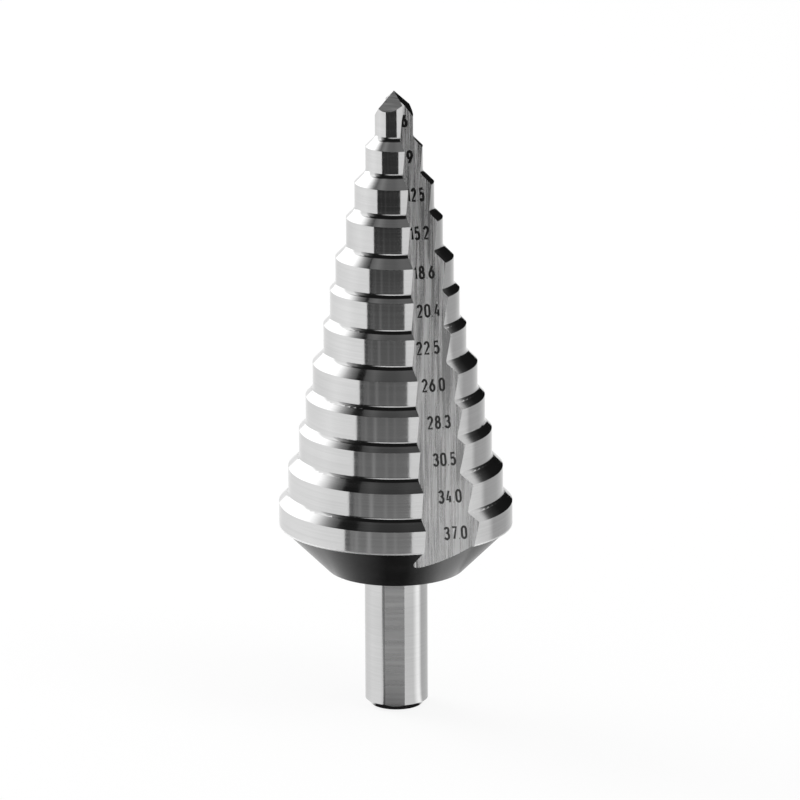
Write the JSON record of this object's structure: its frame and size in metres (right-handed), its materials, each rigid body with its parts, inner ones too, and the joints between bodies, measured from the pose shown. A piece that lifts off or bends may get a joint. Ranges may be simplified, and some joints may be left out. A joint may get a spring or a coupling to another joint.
{
  "type": "step drill",
  "caption": "Conical step drill with stepped cutting lands, two straight flutes, a four-facet point, a back cone and a round shank with flats for a three-jaw chuck.",
  "frame": {"origin": "centre of the shank's flat end", "axes": "+Z along the drill's axis from the shank end to the point; -Y is the front, where one flute's numbered floor faces"},
  "size_m": [0.037, 0.037, 0.1],
  "materials": {
    "ground_steel": "ground tool steel, bright",
    "black_skin": "dark heat-treatment skin left unground",
    "mark_black": "dark laser-marked size numbers"
  },
  "bodies": {
    "root": {"step_drill": "ground_steel"}
  },
  "joints": []
}
